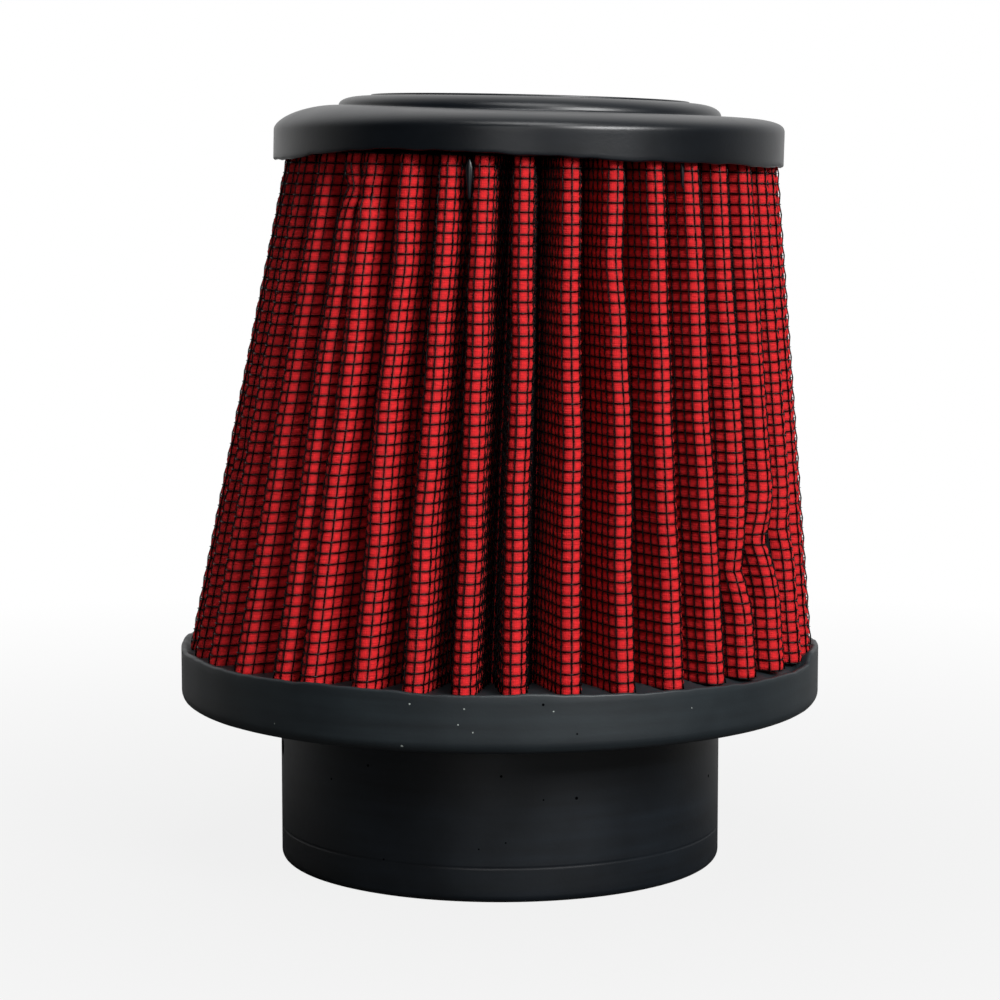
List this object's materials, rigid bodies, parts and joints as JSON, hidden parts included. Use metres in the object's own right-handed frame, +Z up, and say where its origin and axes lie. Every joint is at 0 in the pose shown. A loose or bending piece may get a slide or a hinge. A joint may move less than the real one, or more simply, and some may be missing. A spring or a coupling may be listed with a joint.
{
  "type": "performance air filter",
  "caption": "Clamp-on cone air filter: red pleated cotton gauze under black wire mesh, between a black cast neck ring and a closed offset cap.",
  "frame": {"origin": "on the neck's axis, in the plane of the neck's open end", "axes": "+Z up along the neck's axis towards the cap, -Y towards the viewer of the picture, +X the side that the cap is offset to"},
  "size_m": [0.1014, 0.1014, 0.1209],
  "materials": {
    "base_moulding": "satin cast polyurethane",
    "top_cap": "satin cast polyurethane",
    "cotton_gauze": "oiled cotton gauze",
    "outer_mesh": "black coated wire",
    "inner_mesh": "black coated wire",
    "seam_clip": "plain folded strip"
  },
  "bodies": {
    "root": {"base_moulding": "base_moulding", "top_cap": "top_cap", "cotton_gauze": "cotton_gauze", "outer_mesh": "outer_mesh", "inner_mesh": "inner_mesh", "seam_clip": "seam_clip"}
  },
  "joints": []
}
